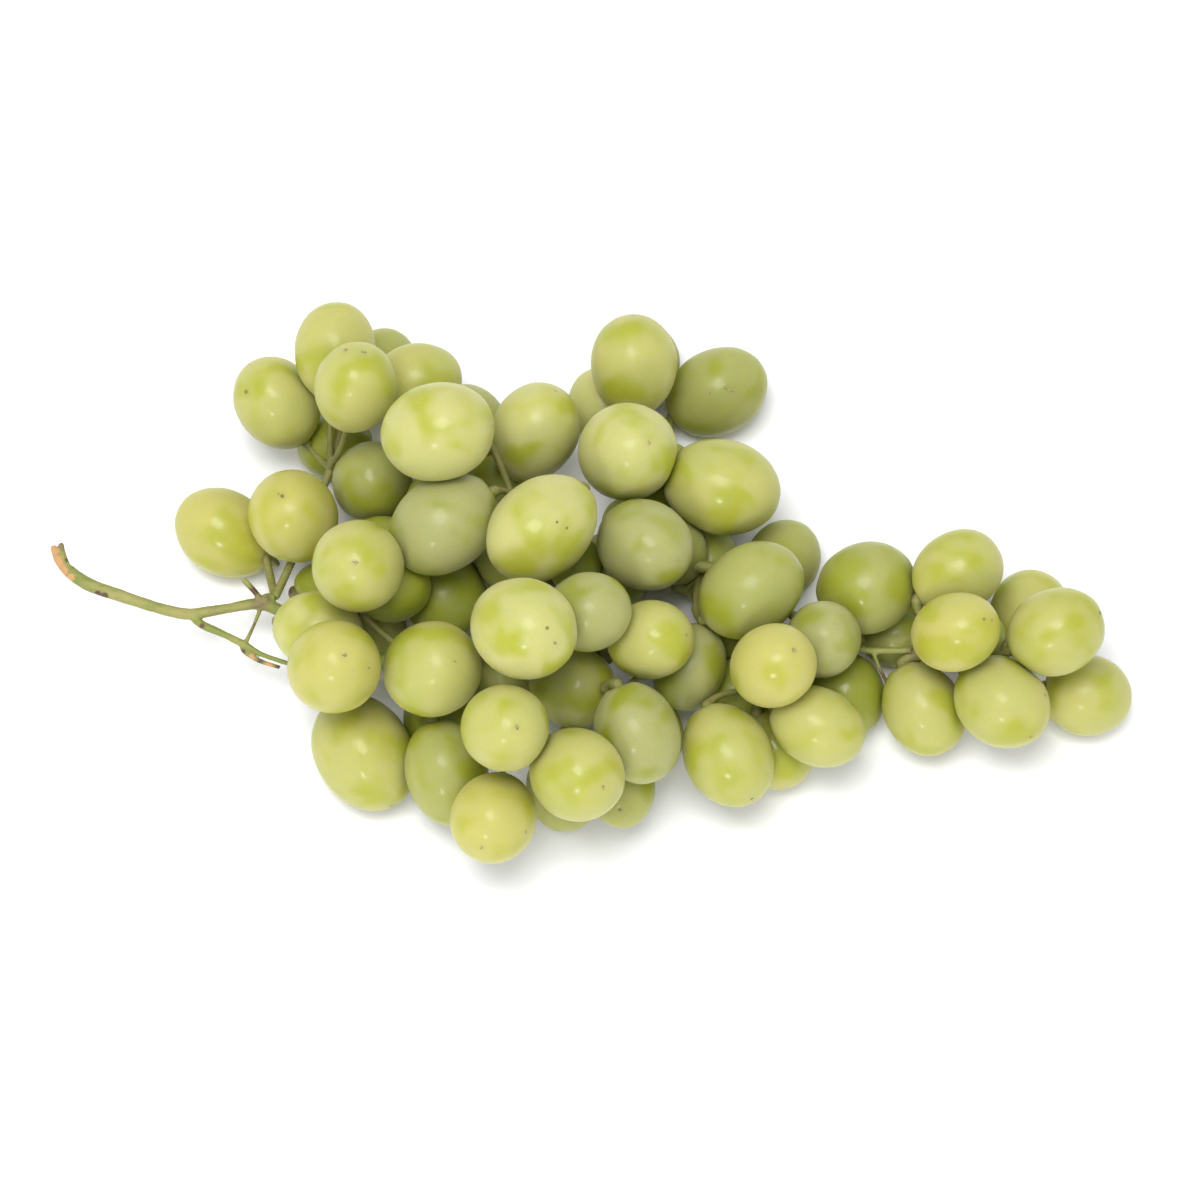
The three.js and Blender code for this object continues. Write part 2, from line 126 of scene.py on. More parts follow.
class Finish:  # a material and the one way to add nodes to it
    def __init__(self, name):
        self.material = bpy.data.materials.new(name)
        self.material.use_nodes = True
        self.tree = self.material.node_tree
        self.tree.nodes.clear()

    def add(self, kind, settings=None, inputs=None, output=0):
        node = self.tree.nodes.new(kind)
        for key, value in (settings or {}).items():
            setattr(node, key, value)
        for key, value in (inputs or {}).items():
            if isinstance(value, Sum):
                self.tree.links.new(value.socket, node.inputs[key])
            else:
                node.inputs[key].default_value = value
        return Sum(self, node.outputs[output]) if node.outputs else None

    def blend(self, share, first, second):
        first, second = [(*c, 1) if isinstance(c, tuple) else c for c in (first, second)]
        return self.add("ShaderNodeMix", {"data_type": "RGBA"}, {0: share, 6: first, 7: second}, 2)

    def step(self, value, low, high):  # 0 below low, 1 above high, smooth between
        return self.add(
            "ShaderNodeMapRange", {"interpolation_type": "SMOOTHSTEP"},
            {"Value": value, "From Min": low, "From Max": high},
        )

    def noise(self, place, scale, detail=2, rough=0.5, distort=0):
        return self.add(
            "ShaderNodeTexNoise", {},
            {"Vector": place, "Scale": scale, "Detail": detail, "Roughness": rough, "Distortion": distort},
        )

    def scaled(self, vector, scales):
        return self.add("ShaderNodeVectorMath", {"operation": "MULTIPLY"}, {0: vector, 1: scales})

    def numbers(self, name):  # the three numbers of an attribute of the mesh
        vector = self.add("ShaderNodeAttribute", {"attribute_name": name}, {}, 1)
        return [self.add("ShaderNodeSeparateXYZ", {}, {0: vector}, k) for k in range(3)]

    def finish(self, settings):
        shader = self.add("ShaderNodeBsdfPrincipled", {}, settings)
        self.add("ShaderNodeOutputMaterial", {}, {"Surface": shader})
        return self.material


skin = {
    "green": (0.3, 0.33, 0.045),
    "yellow": (0.43, 0.385, 0.075),
    "clean": (0.32, 0.35, 0.02),
    "waxy": (0.49, 0.475, 0.245),
    "stalkEnd": (0.27, 0.26, 0.05),
    "depth": 0.008,  # how far light wanders in the flesh, metres
    "glossClean": 0.38,
    "glossWaxy": 0.56,
    "veins": 0.2,  # how strongly each of these shows
    "dots": 0.2,
    "stalkRing": 0.7,
    "rubbed": 0.5,
    "dotCloseness": 1.1,  # how close together the fine dots are
    "bump": 0.25,
    "bumpDepth": 0.0006,  # metres
}


def makeSkin():
    f = Finish("grapeSkin")
    place = f.scaled(f.add("ShaderNodeTexCoord", {}, {}, 3), (1000, 1000, 1000))
    tone, bloom, light = f.numbers("look")
    along = f.numbers("around")[2]
    around = f.add("ShaderNodeAttribute", {"attribute_name": "around"}, {}, 1)

    broad = f.noise(place, 0.07, 2)
    mottle = f.noise(place, 0.3, 3, 0.55, 0.4)
    fine = f.noise(place, 2.2, 2)
    veins = f.noise(around, 1.0, 3, 0.6, 0.3)
    warm = tone + (broad - 0.5) * 0.7 + (mottle - 0.5) * 0.4
    flesh = f.blend(f.step(warm, 0.05, 1.05), skin["green"], skin["yellow"])
    flesh = f.blend(f.step(veins, 0.5, 0.72) * skin["veins"], flesh, skin["yellow"])

    # the wax lies in soft patches, rubbed off here and there
    rubs = f.noise(place, 0.13, 1, 0.4, 0.2)
    rubbed = f.step(rubs + (0.5 - bloom) * 0.1 + (mottle - 0.5) * 0.14, 0.44, 0.7)
    wax = (1 - rubbed) * (0.8 + (fine - 0.5) * 0.4)
    colour = f.blend(rubbed * skin["rubbed"], flesh, skin["clean"])
    colour = f.blend(wax * bloom, colour, skin["waxy"])

    # fine pale dots
    near = skin["dotCloseness"]
    cells = f.add("ShaderNodeTexVoronoi", {"feature": "F1"}, {"Vector": place, "Scale": near})
    dots = 1 - f.step(cells, 0.1, 0.22)
    colour = f.blend(dots * skin["dots"], colour, skin["waxy"])

    # duller skin round the stalk
    stalk = 1 - f.step(along + (mottle - 0.5) * 0.1, -1.18, -1.08)
    colour = f.blend(stalk * skin["stalkRing"], colour, skin["stalkEnd"])
    # painted light and shade: the look's third number makes a whole berry darker or lighter for the shade or
    # light it gets where it lies
    colour = f.add("ShaderNodeVectorMath", {"operation": "SCALE"}, {0: colour, "Scale": light})

    gloss = skin["glossClean"] + wax * (skin["glossWaxy"] - skin["glossClean"]) + (fine - 0.5) * 0.08
    height = mottle * 0.35 + fine * 0.1 + wax * 0.05 - dots * 0.06
    bumps = {"Height": height, "Strength": skin["bump"], "Distance": skin["bumpDepth"]}
    return f.finish({
        "Base Color": colour,
        "Roughness": gloss,
        "Normal": f.add("ShaderNodeBump", {}, bumps),
        "IOR": 1.4,
        "Specular IOR Level": 0.35,
        "Coat Weight": 0.32 - wax * 0.14,
        "Coat Roughness": 0.16,
        "Coat IOR": 1.4,
        "Subsurface Weight": 0.9,
        "Subsurface Radius": (0.85, 1.0, 0.15),
        "Subsurface Scale": skin["depth"],
    })


speck = {"colour": (0.2, 0.15, 0.05), "pale": (0.38, 0.32, 0.11)}


def makeSpeck():
    f = Finish("corkySpeck")
    grain = f.noise(f.add("ShaderNodeTexCoord", {}, {}, 3), 900, 2)
    colour = f.blend(f.step(grain, 0.35, 0.65), speck["colour"], speck["pale"])
    return f.finish({"Base Color": colour, "Roughness": 0.7})


bark = {
    "green": (0.19, 0.22, 0.035),
    "pale": (0.3, 0.28, 0.08),
    "olive": (0.2, 0.165, 0.06),
    "brown": (0.085, 0.042, 0.012),
    "torn": (0.52, 0.28, 0.11),
    "bump": 0.6,
    "bumpDepth": 0.0005,  # metres
}


def makeBark():
    f = Finish("stemBark")
    place = f.scaled(f.add("ShaderNodeTexCoord", {}, {}, 3), (350, 1000, 1000))  # drawn out along the stem
    dark, dry, torn = f.numbers("state")
    broad = f.noise(place, 0.25, 2)
    streak = f.noise(place, 1.6, 3, 0.6)
    fine = f.noise(place, 6, 2)
    colour = f.blend(f.step(broad + (streak - 0.5) * 0.6, 0.35, 0.75), bark["green"], bark["pale"])
    colour = f.blend(f.step(dry + (streak - 0.5) * 0.8, 0.25, 0.85), colour, bark["olive"])
    colour = f.blend(f.step(torn + (streak - 0.5) * 0.5, 0.3, 0.7), colour, bark["torn"])
    colour = f.blend(f.step(dark + (streak - 0.5) * 0.5, 0.35, 0.75), colour, bark["brown"])
    flecks = f.step(fine + (streak - 0.5) * 0.6, 0.66, 0.8) * 0.5
    colour = f.blend(flecks, colour, bark["brown"])
    height = streak * 0.7 + fine * 0.3
    bumps = {"Height": height, "Strength": bark["bump"], "Distance": bark["bumpDepth"]}
    return f.finish({
        "Base Color": colour,
        "Roughness": 0.55 + (streak - 0.5) * 0.3,
        "Normal": f.add("ShaderNodeBump", {}, bumps),
        "Subsurface Weight": 0.15,
        "Subsurface Radius": (1.0, 0.8, 0.3),
        "Subsurface Scale": 0.001,
    })


skinFinish = makeSkin()
speckFinish = makeSpeck()
barkFinish = makeBark()
print("finishes made")

stem = {
    # across, up, height, radius
    "main": [
        (-109.4, 10.8, 13, 0.6), (-108.2, 8.2, 13, 1.1), (-106, 5.6, 13, 1.3), (-102, 3, 13, 1.4),
        (-96, 0.9, 13, 1.3), (-89, -1.4, 13, 1.15), (-83, -2.8, 13, 1.2), (-79, -2.4, 13, 1.15),
        (-74, -1.6, 13, 1), (-68, -0.8, 12.5, 1.2), (-63, -2.6, 11, 1.3), (-56, -5.5, 10, 1.6),
        (-50, -9.5, 12, 1.6), (-44, -12, 16, 1.6), (-36, -11.5, 18, 1.6), (-26, -10, 19, 1.6),
        (-14, -6, 19.5, 1.5), (-2, 0, 20, 1.5), (10, 6, 19, 1.4), (22, 6.4, 18, 1.3), (34, 0.6, 16, 1.1),
        (44, -7.5, 14.5, 0.9), (52.6, -10, 15, 0.7), (62.4, -10, 15.5, 0.7),
    ],
    "twigs": {
        "second prong of the torn end": [
            (-107.8, 11.4, 13.4, 0.5), (-107.6, 9.4, 13.2, 0.8), (-106.8, 6.8, 13, 0.9),
        ],
        "lower branch": [
            (-81.6, -3, 13, 1), (-79.6, -4.9, 12.8, 0.9), (-75, -7, 12, 0.7), (-71.4, -8.8, 12, 0.8),
            (-67.4, -11, 12, 0.5), (-62, -12.8, 12.5, 0.5),
        ],
        "dried stub beside it": [
            (-71.6, -9, 12, 0.6), (-71, -10.4, 11.6, 0.5), (-68, -12.2, 11, 0.5), (-64, -13.5, 10.6, 0.4),
        ],
        "thin cross twig": [(-67.8, -1.4, 12.4, 0.5), (-69.2, -5, 12, 0.35), (-70.8, -8.4, 12, 0.5)],
        "dark twig with its stub": [(-67.4, -0.6, 12.5, 0.7), (-69, 1.6, 14, 0.6), (-71.4, 4.2, 15, 0.6)],
        "knot on the other side": [(-68, -0.8, 12.5, 1), (-66.6, 0.2, 12.6, 1.2), (-65, 0.5, 12.6, 0.9)],
        "dried twig near the tail": [
            (54.6, -10.4, 15, 0.5), (56, -13.8, 14.6, 0.4), (57.8, -17.4, 14, 0.4),
        ],
    },
    "grain": 0.22,  # size of the cubes that join the tubes
    "smooths": 2,
    "sides": 14,
    "steps": 6,
    "dry": 0.25,  # how dry the bark is away from its marked places
}
sprays = ["spray_stem_end", "spray_left", "spray_left_front", "spray_upper_left"]
sprays += ["spray_upper_middle", "spray_upper_right", "spray_centre", "spray_centre_right"]
sprays += ["spray_lower_left", "spray_lower_middle", "spray_lower_right", "spray_right", "spray_tail"]

twigForm = {
    "towardStem": 0.3,  # how far a spray's fork lies from its berries' middle to the stem
    "drop": 4,
    "lowest": 6,
    "sag": 1.5,
}

looks = {  # how yellow and how waxy a kind of berry is, and a scale on its colour that paints the shade or light the berry gets where it lies
    "ripe": (0.55, 0.45, 1),
    "golden": (0.85, 0.35, 1),
    "waxy": (0.5, 0.65, 1.05),
    "bloomed": (0.15, 0.7, 0.8),
    "green": (0.3, 0.4, 0.85),
    # painted shade: berries down in the gaps are coloured darker, greener and hardly waxy, to add to the
    # shade round them
    "deep": (0.1, 0.1, 0.85),
}

# Berries in the order in which they are laid: spray, across, up, width, length, bearing of the
# blossom end, its rise toward the eye, its look, and for some the height at which the stalk
# holds the berry's middle up
lowBerries = [
    ("spray_upper_left", -53, 30.8, 14.4, 16, 180, 0, "deep"),
    ("spray_upper_left", -44, 46.6, 15, 17, 60, 0, "green"),
    ("spray_upper_middle", -26.4, 34.4, 16.4, 18.4, 100, 10, "green"),
    ("spray_upper_right", 1.2, 38.4, 15.4, 17.6, 120, 0, "waxy"),
    ("spray_centre", 2, 5, 16, 18, 90, 0, "deep"),
    ("spray_centre_right", 21.8, 6.6, 13.2, 17, 90, 0, "deep"),
    ("spray_centre_right", 36.6, 8, 15.4, 17.4, 60, -10, "green"),
    ("spray_centre_right", 15.2, 9.8, 12.6, 14.6, 90, 0, "green"),
    ("spray_left", -54.6, 2.2, 12, 14, 0, 0, "deep"),
    ("spray_left", -46, -6, 14.6, 17, 240, -20, "green"),
    ("spray_lower_left", -31, 1, 17.4, 19.6, 90, -30, "deep", 12),
    ("spray_lower_left", -41.4, 2.4, 14, 16, 20, 0, "deep"),
    ("spray_upper_middle", -21, 21, 15.4, 17.4, 60, 0, "deep"),
    ("spray_centre", -17.4, 8, 14.8, 17, 150, 0, "green"),
    ("spray_lower_right", 27.6, -18.6, 14.4, 17, 0, 0, "deep"),
    ("spray_lower_right", 49.2, -18.8, 16, 17.8, -60, 0, "deep"),
    ("spray_right", 58.9, -7, 13.2, 15, 0, 0, "green"),
    ("spray_tail", 85.6, -2.4, 16, 18, 60, 0, "ripe"),
    ("spray_lower_middle", -7.4, -37.6, 15, 18, -80, 0, "green"),
    ("spray_lower_left", -19.6, -16, 15, 17, -80, 0, "green"),
    ("spray_stem_end", -75, 13.4, 17.6, 22, 148, 10, "golden"),
    ("spray_left_front", -47.2, -30.6, 20, 25, -58, 8, "ripe"),
    ("spray_upper_right", 23.4, 41.6, 18, 22.4, 28, 10, "green"),
]
upperBerries = [
    ("spray_left", -56.4, -6, 16, 18.4, -10, 10, "waxy"),
    ("spray_lower_right", 35.2, -30, 14.8, 16.6, -60, 0, "ripe"),
    ("spray_lower_middle", 4.4, -37.6, 13.6, 16.4, -90, 20, "green"),
    ("spray_upper_left", -64.6, 39.4, 17.2, 20.6, 125, 20, "ripe"),
    ("spray_upper_left", -53, 49.6, 16.8, 20.8, 85, 10, "ripe"),
    ("spray_upper_left", -36.4, 44.2, 15, 18.6, 5, 0, "ripe"),
    ("spray_upper_left", -45.6, 23.6, 16.8, 19.6, 50, 78, "green"),
    ("spray_stem_end", -61.2, 16.6, 18.4, 21.6, 120, 60, "golden"),
    ("spray_lower_left", -30.6, -34.6, 16.8, 22, -75, 0, "green"),
    ("spray_centre", -5.4, -17.4, 16.4, 18.4, -20, 20, "green", 19),
    ("spray_lower_middle", 18, -13.4, 14.4, 18.4, -112, 0, "bloomed", 17),
    ("spray_centre", 10, -8, 16, 18.8, 8, 38, "ripe"),
    ("spray_centre", -2.4, -2.4, 16, 18, 10, 30, "bloomed"),
    ("spray_upper_right", 6.8, 47, 18, 21.4, 92, 15, "ripe"),
    ("spray_centre_right", 9, 11, 18.4, 21.6, -25, 45, "bloomed"),
    ("spray_lower_middle", 7.4, -26.6, 17.2, 20.8, -70, 0, "bloomed"),
    ("spray_right", 53.4, 2.4, 18.8, 21, 20, 10, "green"),
    ("spray_right", 44.4, -8, 15.4, 17.6, 50, 60, "bloomed"),
    ("spray_lower_right", 25.6, -31, 18, 22, -62, 15, "ripe"),
    ("spray_lower_right", 43.4, -25.2, 16, 20, -25, 5, "ripe"),
    ("spray_tail", 97.4, -19, 16.8, 18.4, -10, 0, "ripe"),
    ("spray_tail", 71.4, 5.6, 16.4, 19.6, 30, 5, "ripe"),
    ("spray_tail", 64.6, -21.8, 16.4, 20, -60, 5, "ripe"),
    ("spray_upper_left", -49, 42.4, 16.8, 20, 76, 42, "ripe"),
    ("spray_upper_middle", -31.2, 15.2, 19.2, 24, 215, 5, "bloomed"),
    ("spray_upper_middle", -13.2, 33.4, 18, 22.4, 62, 30, "waxy"),
    ("spray_left", -48.4, 6.8, 18.6, 21.6, 120, 85, "ripe"),
    ("spray_left_front", -53.2, -13.4, 18.8, 22, 47, 72, "golden"),
    ("spray_lower_left", -33.6, -13.8, 19.4, 22.8, 18, 63, "ripe"),
    ("spray_centre_right", 30.2, 2, 18.4, 23, 35, 10, "green"),
    ("spray_lower_right", 34.6, -13.2, 16.8, 19.8, 36, 57, "golden"),
    ("spray_lower_middle", -4.8, -34.8, 18.4, 21.4, -26, 55, "ripe"),
    ("spray_lower_left", -21.2, -43.4, 17.2, 20, -112, 50, "golden"),
    ("spray_upper_right", 24.4, 22.6, 19.6, 24.4, -12, 5, "ripe"),
    ("spray_upper_middle", -11.6, 14.4, 19.6, 25, 222, 15, "waxy"),
    ("spray_upper_right", 5.4, 29.6, 20, 23, 22, 66, "waxy"),
    ("spray_upper_middle", -32.4, 33.6, 20, 23.6, 12, 22, "waxy"),
    ("spray_centre", -15.4, -5.6, 20, 24, -25, 52, "waxy"),
    ("spray_lower_left", -19, -25.6, 17.4, 20.6, 0, 75, "ripe"),
    ("spray_tail", 80.4, -20.4, 18, 20.8, -38, 25, "ripe"),
    ("spray_tail", 71.2, -6.4, 16, 19.6, 20, 42, "golden"),
    ("spray_tail", 91.2, -6.4, 17.6, 20.4, 23, 15, "ripe"),
]
tuckedBerries = [  # places (across, up) where a crowded berry shows between the others, and its bearing
    ("spray_centre_right", 5, 15, 90),
    ("spray_centre", -5, 7, 90),
    ("spray_lower_right", 26, -7, 0),
]
tucked = {
    "widths": (16, 15, 14, 13, 12, 11, 10),
    "highest": 28,
    # painted shade: crowded berries get the darkened look of berries down in the gaps
    "look": "deep",
}
laying = {
    "step": 0.25,  # how far a berry is moved at a time
    "start": 90,  # how far toward the eye it starts
    "press": 0.94,  # how near two berries' middles come, as a share of their radii
    "sink": 0.6,  # how far the lowest berries are pressed flat on the surface
    "gap": 0.3,
    "beads": 2.5,  # spacing of the beads that stand for the stem
    "beadsFrom": 9,  # the stem point where they begin
}
fill = {
    "x": (-70, 90),
    "y": (-45, 65),
    "spacing": 5,
    "levels": (0, 14, 20, 26),
    "widths": (16, 14.5),
    "stretch": 1.14,
    "tilt": 60,  # degrees between the steepest fall and rise
    "seed": 11,
    "rimPoints": 12,
    "rimSlack": 0.8,
    "rimBehind": 10,
    "seeThrough": ((18, -1.2), (29, 12), (12.4, 37), (15.2, 33.4), (-6, 26), (57.4, -16.4), (-44, -13.6)),
    "seeThroughRadius": 1,
    # painted shade: the hidden fill gets the darkened look of berries down in the gaps
    "look": "deep",
}
berryForm = {
    "sides": 44,
    "rings": 30,
    "lumps": 0.018,  # how uneven, as a share of the half width
    "softness": 0.9,  # how gently a berry turns into the flat where it's pressed
    "press": 0.02,  # clearance between pressed berries
    "reach": 0.985,  # trims the rule's ellipsoid to the skin
    "taper": (-0.03, 0.05),  # how much fatter the blossom end may be
    "broadLumps": 1.3,  # how close together the lumps are
    "smallLumps": 3.1,
    "smallShare": 0.4,
    # the dimple and the rim at the stalk and the dent at the tip: depth, middle, width, with the
    # last two as angles from the stalk
    "dimple": (0.055, 0, 0.2),
    "rim": (-0.012, 0.34, 0.12),
    "tipDent": (0.012, math.pi, 0.1),
    "nearby": 1,  # how far off a berry may be and still press on this one
    "underSoftness": 0.6,  # of the softness, where it lies on the surface
    "patternRound": 6,  # how fast the skin's pattern changes, round and along the berry
    "patternAlong": 1.2,
    "seed": 5,
}
chance = random.Random(berryForm["seed"])


class Berry:
    def __init__(self, spray, width, length, bearing, rise, look):
        turn, tilt = math.radians(bearing), math.radians(rise)
        flat = math.cos(tilt)
        self.spray = spray
        self.half, self.long = width / 2, length / 2
        self.axis = sightVector(math.cos(turn) * flat, math.sin(turn) * flat, math.sin(tilt))
        self.look = looks[look]

    # how far it reaches from its middle, in each of some directions
    def reach(self, ways):
        share = (ways @ self.axis) ** 2
        return np.sqrt(self.half**2 * (1 - share) + self.long**2 * share)


berries = []


# each other berry's direction, its distance, and how far both reach toward each other
def neighbours(berry, at):
    others = [other for other in berries if other is not berry]
    ways = np.array([other.at for other in others]) - at
    apart = np.linalg.norm(ways, axis=1)
    ways /= apart[:, None]
    shares = np.sum(ways * np.array([other.axis for other in others]), axis=1) ** 2
    sizes = np.array([(other.half, other.long) for other in others]) ** 2
    theirs = np.sqrt(sizes[:, 0] * (1 - shares) + sizes[:, 1] * shares)
    return ways, apart, berry.reach(ways), theirs


def touches(berry, at):
    if not berries:
        return False
    ways, apart, own, theirs = neighbours(berry, at)
    return bool(np.any(apart < laying["press"] * (own + theirs)))


def stemBeads():
    points = [(seenAt(*row[:3]), row[3]) for row in stem["main"][laying["beadsFrom"]:]]
    beads = []
    for (start, thick), (end, thin) in zip(points, points[1:]):
        count = max(1, int(np.linalg.norm(end - start) / laying["beads"]))
        for k in range(count):
            radius = thick + (thin - thick) * k / count
            beads.append((*(start + (end - start) * k / count), radius))
    return np.array(beads)


beads = stemBeads()


def touchesStem(berry, at):
    ways = beads[:, :3] - at
    apart = np.linalg.norm(ways, axis=1)
    ways /= apart[:, None]
    return bool(np.any(apart < berry.reach(ways) + beads[:, 3] + laying["gap"]))


def restHeight(berry):
    return berry.reach(np.array((0, 0, 1))) - laying["sink"]


# slides a berry down its sight line until it meets another, the stem, the surface or its own stalk
def layBerry(row, minded):
    spray, across, up, width, length, bearing, rise, look, held = (*row, 0)[:9]
    berry = Berry(spray, width, length, bearing, rise, look)
    spot = aim + sightVector(across, up, 0)
    toward = (eye - spot) / np.linalg.norm(eye - spot)
    lowest = max(held, restHeight(berry))
    slide = laying["start"]
    while True:
        at = spot + toward * (slide - laying["step"])
        if at[2] < lowest or touches(berry, at) or (minded and touchesStem(berry, at)):
            break
        slide -= laying["step"]
    berry.at = spot + toward * slide
    berries.append(berry)


# a crowded berry is the widest that has room, from the surface up, under its place
def tuckBerry(row):
    spray, across, up, bearing = row
    for width in tucked["widths"]:
        berry = Berry(spray, width, width * fill["stretch"], bearing, 0, tucked["look"])
        height = restHeight(berry)
        while height < tucked["highest"]:
            berry.at = seenAt(across, up, height)
            if not touches(berry, berry.at) and not touchesStem(berry, berry.at):
                berries.append(berry)
                return
            height += laying["step"]


# whether a berry stays within the outline of the others, mostly behind them, and closes no gap
def hidden(berry):
    own = seenFrom(berry.at)
    for gap in fill["seeThrough"]:
        if math.dist(gap, own[:2]) < berry.half + fill["seeThroughRadius"]:
            return False
    seen = seenFrom(np.array([other.at for other in berries]))
    halves = np.array([other.half for other in berries]) + fill["rimSlack"]
    within = behind = 0
    for k in range(fill["rimPoints"]):
        turn = k / fill["rimPoints"] * 2 * math.pi
        rim = own[:2] + np.array((math.cos(turn), math.sin(turn))) * berry.half
        over = np.linalg.norm(seen[:, :2] - rim, axis=1) < halves
        within += bool(over.any())
        behind += bool((seen[over, 2] > own[2]).any())
    return within == fill["rimPoints"] and behind >= fill["rimBehind"]


# each spray's twig leaves the nearest of the stem's hidden points, the lower branch's end and the
# knot, and forks under its berries
leaving = [seenAt(*place[:3]) for place in stem["main"][laying["beadsFrom"]:]]
leaving += [seenAt(*stem["twigs"][name][-1][:3]) for name in ("lower branch", "knot on the other side")]


def sprayTwig(name):
    middle = np.mean([berry.at for berry in berries if berry.spray == name], axis=0)
    root = min(leaving, key=lambda point: np.linalg.norm(point - middle))
    fork = middle + (root - middle) * twigForm["towardStem"]
    fork[2] = max(twigForm["lowest"], fork[2] - twigForm["drop"])
    bend = (root + fork) / 2
    bend[2] -= twigForm["sag"]
    return root, bend, fork


def nearestSpray(at):
    return min(sprays, key=lambda name: np.linalg.norm(twigs[name][2] - at))


# a short, plain row of chances, the same wherever it's run
def evenChances(seed):
    factor, limit = 16807, 2147483647
    while True:
        seed = seed * factor % limit
        yield seed / limit


def fillUnderneath():
    draw = evenChances(fill["seed"])
    step = fill["spacing"]
    rows = range(fill["y"][0], fill["y"][1] + 1, step)
    columns = range(fill["x"][0], fill["x"][1] + 1, step)
    places = [(y, x) for y in rows for x in columns]
    for width in fill["widths"]:
        for level in fill["levels"]:
            for y, x in places:
                bearing = next(draw) * 360
                rise = next(draw) * fill["tilt"] - fill["tilt"] / 2
                berry = Berry("", width, width * fill["stretch"], bearing, rise, fill["look"])
                height = max(level, restHeight(berry))
                berry.at = np.array((x + next(draw) * step, y + next(draw) * step, height))
                if not touches(berry, berry.at) and not touchesStem(berry, berry.at) and hidden(berry):
                    berry.spray = nearestSpray(berry.at)
                    berries.append(berry)


for row in lowBerries:
    layBerry(row, False)
for row in upperBerries:
    layBerry(row, True)
for row in tuckedBerries:
    tuckBerry(row)
twigs = {name: sprayTwig(name) for name in sprays}
fillUnderneath()
for berry in berries[len(lowBerries) + len(upperBerries):]:  # stalk's end toward the fork
    if (twigs[berry.spray][2] - berry.at) @ berry.axis > 0:
        berry.axis = -berry.axis
print("berries laid:", len(berries))


# flat places where a berry is pressed on its neighbours
def flatsOf(berry):
    ways, apart, own, theirs = neighbours(berry, berry.at)
    near = apart < own + theirs + berryForm["nearby"]
    depths = apart * own / (own + theirs) - berryForm["press"] / 2
    return [(Vector(way), depth) for way, depth in zip(ways[near], depths[near])]


def growBerry(bm, berry, look, around):
    form = berryForm
    sides, rings = form["sides"], form["rings"]
    verts = bmesh.ops.create_uvsphere(bm, u_segments=sides, v_segments=rings, radius=1)["verts"]
    spin, taper = chance.uniform(0, 360), chance.uniform(*form["taper"])
    upright = Vector((0, 0, 1)).rotation_difference(Vector(berry.axis))
    turn = upright @ Quaternion((0, 0, 1), math.radians(spin))
    flats = flatsOf(berry)
    middle = Vector(berry.at)
    offset = Vector((spin, middle.x, middle.y))
    wind = form["patternRound"]
    for vert in verts:
        way = vert.co.normalized()
        fromStalk = math.acos(max(-1, min(1, -way.z)))
        lumps = noise.noise(way * form["broadLumps"] + offset)
        lumps += form["smallShare"] * noise.noise(way * form["smallLumps"] + offset)
        size = (1 + form["lumps"] * lumps) * form["reach"]
        for depth, middleAt, width in (form["dimple"], form["rim"], form["tipDent"]):
            size -= depth * bell(fromStalk, middleAt, width)
        wide = berry.half * size * (1 + taper * way.z)
        point = turn @ Vector((way.x * wide, way.y * wide, way.z * berry.long * size))
        for toward, depth in flats:
            out = point.dot(toward)
            if out > depth - form["softness"]:
                point += toward * (smoothMin(out, depth, form["softness"]) - out)
        point += middle
        point.z = -smoothMin(-point.z, 0, form["softness"] * form["underSoftness"])
        vert.co = point
        vert[look] = berry.look
        vert[around] = (way.x * wind + spin, way.y * wind + middle.x, way.z * form["patternAlong"])


# corky dots and scars, each seen at (across, up): width, length, turn
marks = {
    "spray_upper_left": [
        (-70.8, 41.6, 0.9, 0.9, 0), (-50.8, 50, 0.7, 0.7, 0), (-47, 49.6, 0.7, 0.7, 0),
        (-29, 49, 1.4, 0.9, 30),
    ],
    "spray_stem_end": [(-63.6, 20.8, 0.8, 0.8, 0)],
    "spray_left": [(-48.8, 7.4, 0.9, 0.8, 0)],
    "spray_upper_middle": [(-21.4, 34.8, 0.7, 0.7, 0), (-8.6, 15.6, 0.6, 0.6, 0), (-6.6, 14.4, 0.6, 0.6, 0)],
    "spray_upper_right": [
        (26, 42, 0.35, 2.6, -45), (22, 41.4, 0.5, 0.5, 0), (32.4, 42, 0.6, 0.6, 0), (9.8, 31.4, 0.7, 0.7, 0),
    ],
    "spray_centre": [(-10.6, -5.6, 0.7, 0.7, 0), (-9, -8.6, 0.6, 0.6, 0)],
    "spray_lower_left": [
        (-16.6, -25.4, 0.9, 0.9, 0), (-23.6, -49.4, 0.7, 0.7, 0), (-14.8, -46.4, 0.7, 0.7, 0),
    ],
    "spray_lower_middle": [(0.6, -37.4, 0.7, 0.7, 0), (4, -42, 0.7, 0.7, 0)],
    "spray_left_front": [(-51, -11, 0.7, 0.7, 0), (-46.2, -13.6, 0.6, 0.6, 0), (-41.8, -41.2, 0.8, 0.8, 0)],
    "spray_lower_right": [(38.8, -10, 0.9, 0.9, 0), (30.4, -39.8, 0.7, 0.7, 0)],
    "spray_tail": [
        (51, 9.4, 0.6, 0.6, 0), (76.8, -3.8, 0.7, 0.7, 0), (100, -2.6, 0.9, 0.9, 0),
        (86.2, -27.4, 0.8, 0.8, 0), (89, -19, 0.7, 0.7, 0),
    ],
}
markForm = {
    "thickness": 0.1,
    "uneven": 0.35,
    "unevenness": 3,  # how close together its bumps are
    "tip": 0.45,  # the flower's scar at the tip
    "tipWidths": (0.6, 1.1),
    "tipLengths": (1, 1.3),
    "tipFrom": 0.6,  # where the ray that finds the tip begins, as a share of the half length
}


